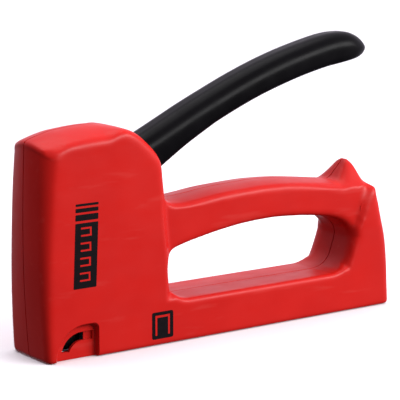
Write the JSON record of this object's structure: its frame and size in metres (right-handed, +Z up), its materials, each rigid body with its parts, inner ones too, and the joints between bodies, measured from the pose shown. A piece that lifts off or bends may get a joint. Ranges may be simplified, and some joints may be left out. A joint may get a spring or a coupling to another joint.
{
  "type": "staple gun",
  "caption": "Hand staple gun with a moulded two-part housing, finger loop, long pivoting handle, sprung striker and a staple magazine that slides out at the rear.",
  "frame": {"origin": "centre of the tool's footprint, on the plane of its base", "axes": "-X is the nose that meets the work and +X is the rear end; Y runs across the tool with its left side at -Y; +Z is up, towards the handle"},
  "size_m": [0.167, 0.0274, 0.1134],
  "materials": {
    "red_plastic": "satin moulded ABS",
    "black_grip": "satin moulded nylon",
    "black_nylon": "satin",
    "zinc_steel": "zinc plated",
    "pressed_steel": "rolled sheet",
    "black_steel": "black oxide",
    "hard_steel": "ground and hardened",
    "spring_steel": "drawn wire",
    "black_rubber": "matte"
  },
  "bodies": {
    "root": {"left_housing": "red_plastic", "right_housing": "red_plastic", "housing_screws": "zinc_steel", "nose_plate": "hard_steel", "plunger_guide": "pressed_steel", "spring_cap": "black_nylon", "main_spring": "spring_steel", "rubber_bumper": "black_rubber", "magazine_channel": "pressed_steel", "handle_pivot_pin": "zinc_steel", "pivot_washers": "zinc_steel", "handle_return_spring": "spring_steel"},
    "lever": {"handle_grip": "black_grip", "lever_arm": "pressed_steel", "pawl_pin": "zinc_steel", "pawl_spring": "spring_steel"},
    "pawl": {"lift_pawl": "hard_steel"},
    "striker": {"plunger": "hard_steel", "driver_blade": "hard_steel", "driver_rivets": "zinc_steel"},
    "magazine": {"magazine_rail": "pressed_steel", "guide_rod": "zinc_steel", "rod_clip": "spring_steel", "magazine_end_cap": "black_nylon", "end_cap_pin": "zinc_steel", "magazine_detent": "spring_steel", "pusher_spring": "spring_steel"},
    "pusher": {"staple_pusher": "black_steel"}
  },
  "joints": [
    {"name": "handle_pivot", "type": "hinge", "parent": "root", "child": "lever", "pos_m": [-0.04295, 0, 0.047], "axis": [0, 1, 0], "range_deg": [0, 20.5], "stiffness_Nm_per_rad": 12, "springref_deg": -11.46, "deforming": ["handle_return_spring"]},
    {"name": "pawl_swing", "type": "hinge", "parent": "lever", "child": "pawl", "pos_m": [-0.06066, 0, 0.0438], "axis": [0, -1, 0], "range_deg": [0, 20], "stiffness_Nm_per_rad": 0.02, "springref_deg": -22.92, "deforming": ["pawl_spring"]},
    {"name": "striker_lift", "type": "slide", "parent": "root", "child": "striker", "axis": [0, 0, 1], "range_m": [0, 0.00985], "deforming": ["main_spring"]},
    {"name": "magazine_slide", "type": "slide", "parent": "root", "child": "magazine", "axis": [1, 0, 0], "range_m": [0, 0.105]},
    {"name": "pusher_slide", "type": "slide", "parent": "magazine", "child": "pusher", "axis": [1, 0, 0], "range_m": [0, 0.085], "stiffness_N_per_m": 30, "springref_m": -0.05, "deforming": ["pusher_spring"]}
  ],
  "couplings": [
    {"joint": "striker_lift", "follows": "handle_pivot", "m_per_rad": 0.027453}
  ]
}
